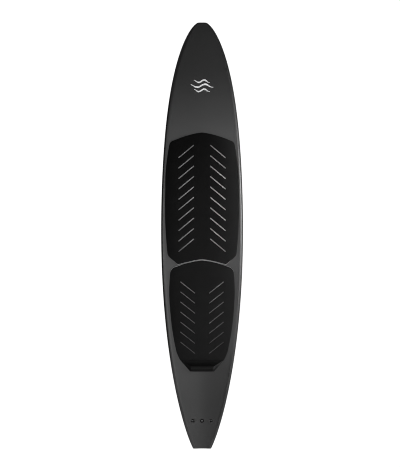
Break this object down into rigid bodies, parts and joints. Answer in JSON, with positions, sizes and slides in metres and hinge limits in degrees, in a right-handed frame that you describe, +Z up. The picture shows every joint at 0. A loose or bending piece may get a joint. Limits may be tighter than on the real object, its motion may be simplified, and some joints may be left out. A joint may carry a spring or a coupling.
{
  "type": "downwind foil board",
  "caption": "Long narrow foam-core board with a pointed nose, square tail, grooved deck pads with kick, leash plugs, vent, bottom foil tracks and carry handle.",
  "frame": {"origin": "centreline, half length, on the flat of the bottom (z = 0)", "axes": "+Y to the nose along the length, +X to the right of a rider facing the nose, +Z up through the deck"},
  "size_m": [0.4686, 2.44, 0.17],
  "materials": {
    "carbon_matt": "matt clear coat over carbon cloth, fine satin sheen",
    "sandwich_foam": "closed-cell sandwich sheet",
    "dense_foam": "closed-cell high-density foam",
    "core_foam": "white bead foam",
    "track_plastic": "glass-filled plastic, matt",
    "brass": "machined brass",
    "moulded_black": "moulded plastic, satin",
    "steel_pin": "stainless steel, brushed",
    "membrane": "thin breathable membrane",
    "ring_rubber": "soft rubber",
    "steel_screw": "stainless steel, turned",
    "adhesive": "thin contact adhesive",
    "eva_grey": "closed-cell EVA foam, mid grey",
    "eva_black": "closed-cell EVA foam, brushed black",
    "decal_light": "thin printed film, light grey"
  },
  "bodies": {
    "board": {"deck_skin": "carbon_matt", "hull_skin": "carbon_matt", "stance_panel": "sandwich_foam", "track_block": "dense_foam", "handle_block": "dense_foam", "leash_block_right": "dense_foam", "leash_block_left": "dense_foam", "vent_block": "dense_foam", "foam_core": "core_foam", "foil_track_right": "track_plastic", "foil_track_left": "track_plastic", "handle_cup": "moulded_black", "leash_cup_right": "moulded_black", "leash_cup_left": "moulded_black", "leash_pin_right": "steel_pin", "leash_pin_left": "steel_pin", "vent_housing": "moulded_black", "vent_membrane": "membrane", "front_pad_adhesive": "adhesive", "front_pad_base": "eva_grey", "front_pad_top": "eva_black", "rear_pad_adhesive": "adhesive", "rear_pad_base": "eva_grey", "rear_pad_top": "eva_black", "rear_kick": "eva_black", "nose_decal": "decal_light"},
    "nut_front_right": {"track_nut_front_right": "brass"},
    "nut_front_left": {"track_nut_front_left": "brass"},
    "nut_rear_right": {"track_nut_rear_right": "brass"},
    "nut_rear_left": {"track_nut_rear_left": "brass"},
    "vent_seal": {"vent_o_ring": "ring_rubber"},
    "vent_plug": {"vent_screw": "steel_screw"}
  },
  "joints": [
    {"name": "nut_front_right_slide", "type": "slide", "parent": "board", "child": "nut_front_right", "axis": [0, 1, 0], "range_m": [-0.071, 0.076]},
    {"name": "nut_front_left_slide", "type": "slide", "parent": "board", "child": "nut_front_left", "axis": [0, 1, 0], "range_m": [-0.071, 0.076]},
    {"name": "nut_rear_right_slide", "type": "slide", "parent": "board", "child": "nut_rear_right", "axis": [0, 1, 0], "range_m": [-0.076, 0.071]},
    {"name": "nut_rear_left_slide", "type": "slide", "parent": "board", "child": "nut_rear_left", "axis": [0, 1, 0], "range_m": [-0.076, 0.071]},
    {"name": "vent_lift", "type": "slide", "parent": "board", "child": "vent_seal", "axis": [0, 0, 1], "range_m": [0, 0.00399]},
    {"name": "vent_turn", "type": "hinge", "parent": "vent_seal", "child": "vent_plug", "pos_m": [0, -1.059, 0.1455], "axis": [0, 0, 1], "range_deg": [0, 1440]}
  ],
  "couplings": [
    {"joint": "vent_turn", "follows": "vent_lift", "rad_per_m": 6283.2}
  ]
}
